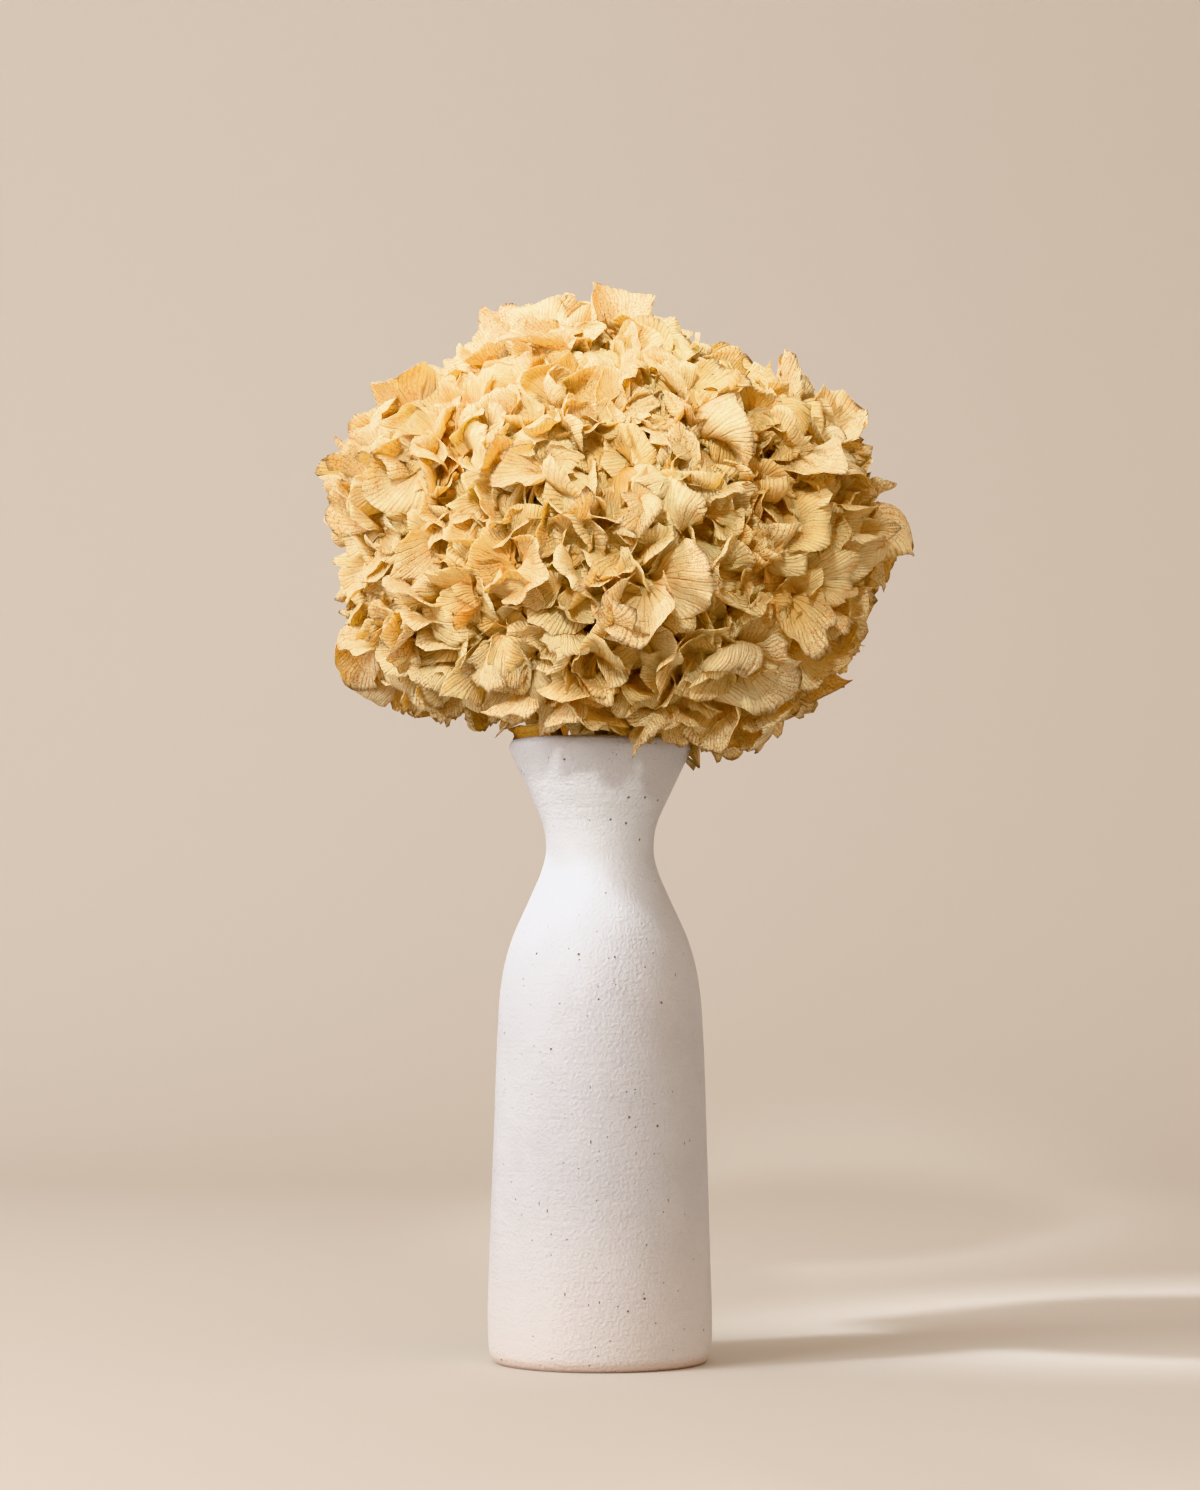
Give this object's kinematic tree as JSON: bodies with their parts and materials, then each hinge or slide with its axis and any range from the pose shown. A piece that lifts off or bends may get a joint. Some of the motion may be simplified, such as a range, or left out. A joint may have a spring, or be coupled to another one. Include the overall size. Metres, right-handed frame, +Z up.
{
  "type": "dried hydrangeas in a vase",
  "caption": "Flared ceramic bottle vase holding dried cream hydrangea heads on woody stems, pressed together into one wide rounded dome.",
  "frame": {"origin": "centre of the vase's flat foot, on the surface that it stands on", "axes": "+Z up along the vase's axis; -Y towards the viewer of the picture; +X to the viewer's right"},
  "size_m": [0.2181, 0.2139, 0.4163],
  "materials": {
    "vase_ceramic": "matte",
    "dry_petal": "matte",
    "dry_stem": "matte"
  },
  "bodies": {
    "root": {"vase": "vase_ceramic", "stem_top": "dry_stem", "stem_left": "dry_stem", "stem_right": "dry_stem", "stem_front": "dry_stem", "stem_back": "dry_stem", "head_top": "dry_petal", "head_left": "dry_petal", "head_right": "dry_petal", "head_front": "dry_petal", "head_back": "dry_petal"}
  },
  "joints": []
}
